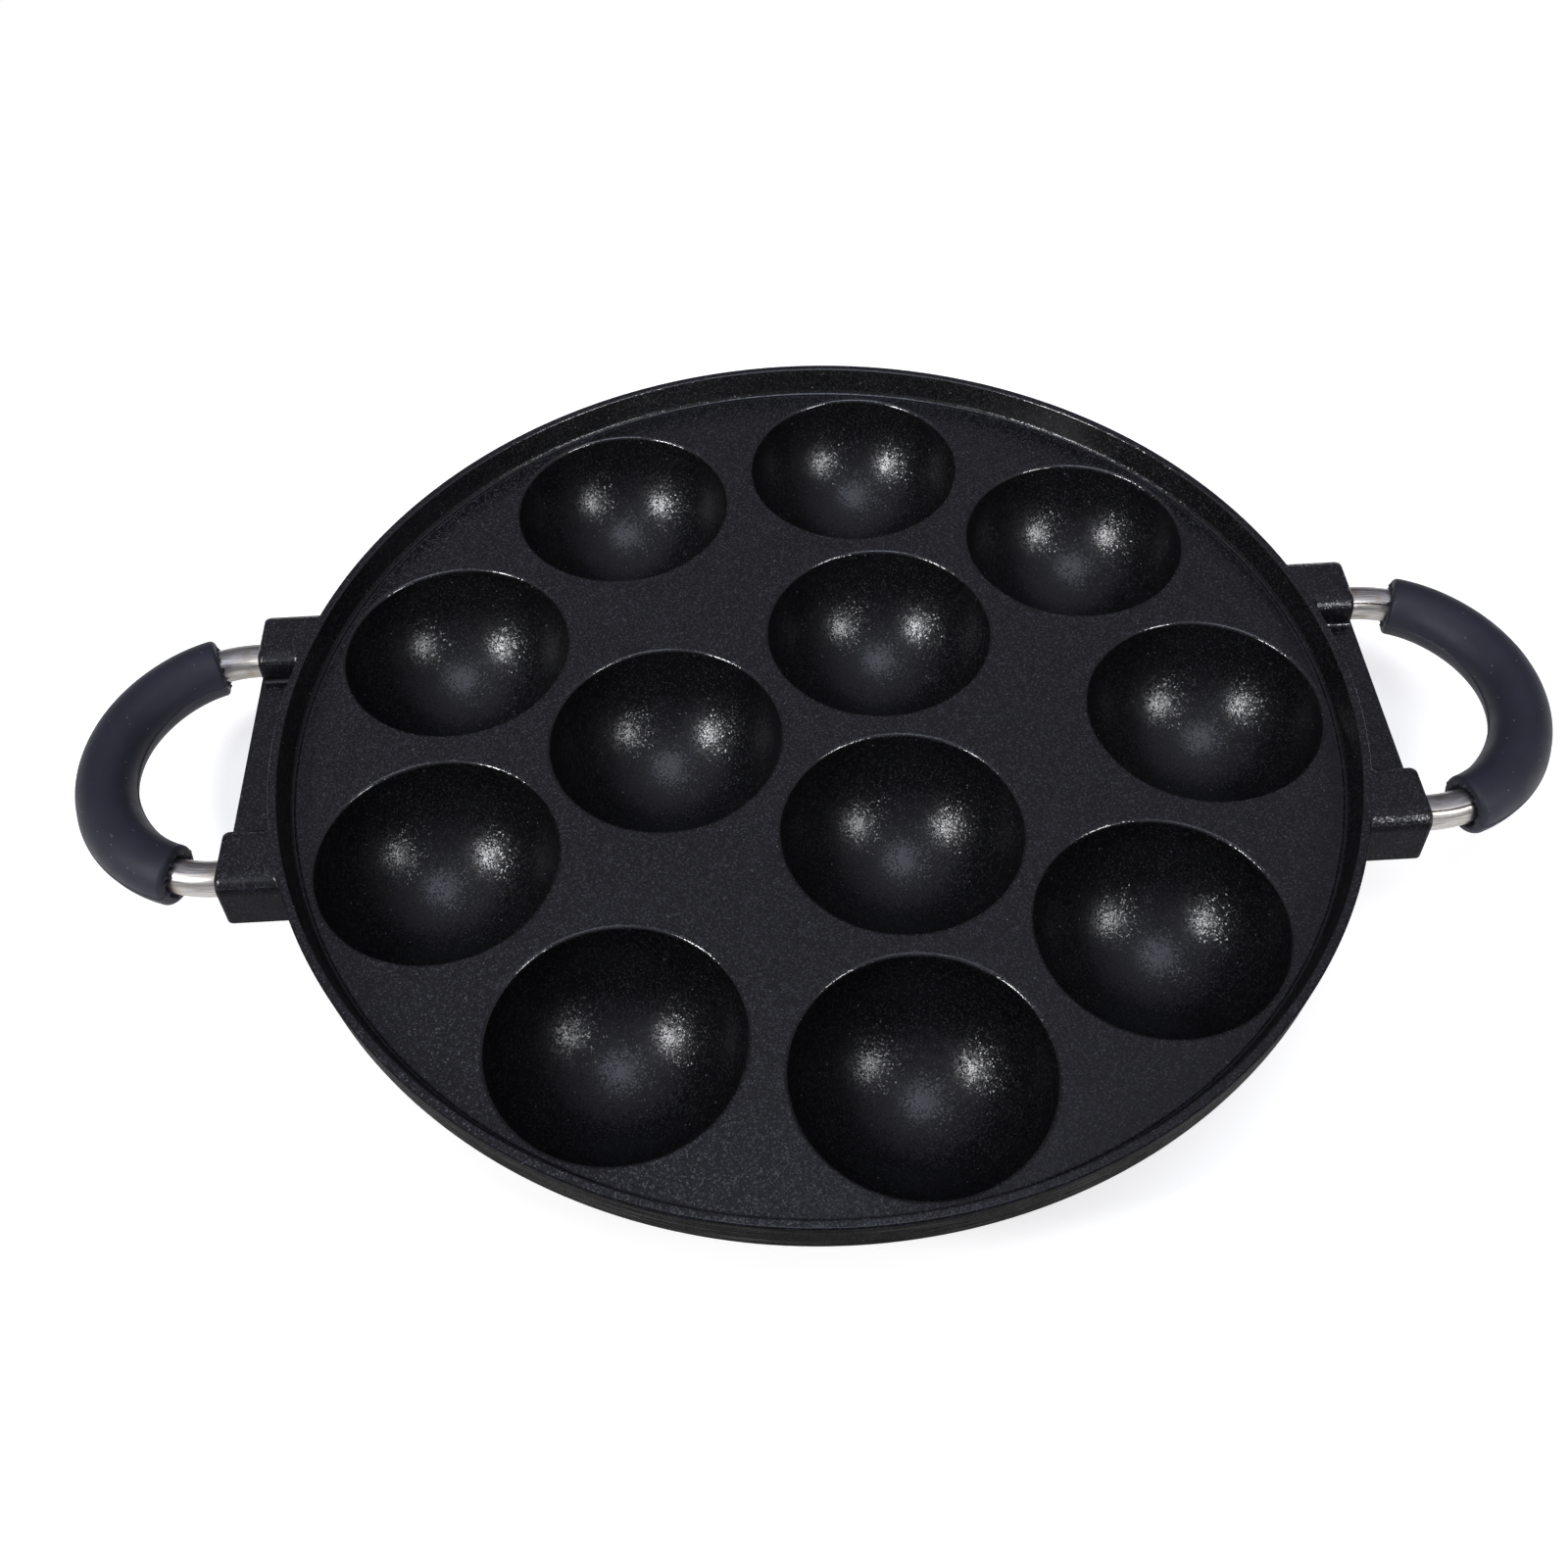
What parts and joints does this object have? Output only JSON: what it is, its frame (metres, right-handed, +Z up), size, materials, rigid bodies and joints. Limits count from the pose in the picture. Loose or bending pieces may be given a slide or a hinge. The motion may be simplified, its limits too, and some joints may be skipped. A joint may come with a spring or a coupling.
{
  "type": "takoyaki maker",
  "caption": "Round cast pan with hemispherical wells in a shallow rimmed tray, and a fixed steel loop handle with a soft sleeve on each side.",
  "frame": {"origin": "on the floor under the middle of the pan, in the plane of the cups' ground feet", "axes": "+X along the handles towards the well that lies on the handle axis, +Z up, out of the wells"},
  "size_m": [0.358, 0.26, 0.0369],
  "materials": {
    "coated_casting": "cast aluminium under a satin black non-stick coat with fine metallic flecks",
    "handle_steel": "drawn stainless tube, unpolished",
    "sleeve_silicone": "matt moulded silicone",
    "pin_steel": "rolled spring steel"
  },
  "bodies": {
    "root": {"pan_body": "coated_casting", "right_handle_tube": "handle_steel", "left_handle_tube": "handle_steel", "right_grip_sleeve": "sleeve_silicone", "left_grip_sleeve": "sleeve_silicone", "right_front_pin": "pin_steel", "right_rear_pin": "pin_steel", "left_front_pin": "pin_steel", "left_rear_pin": "pin_steel"}
  },
  "joints": []
}
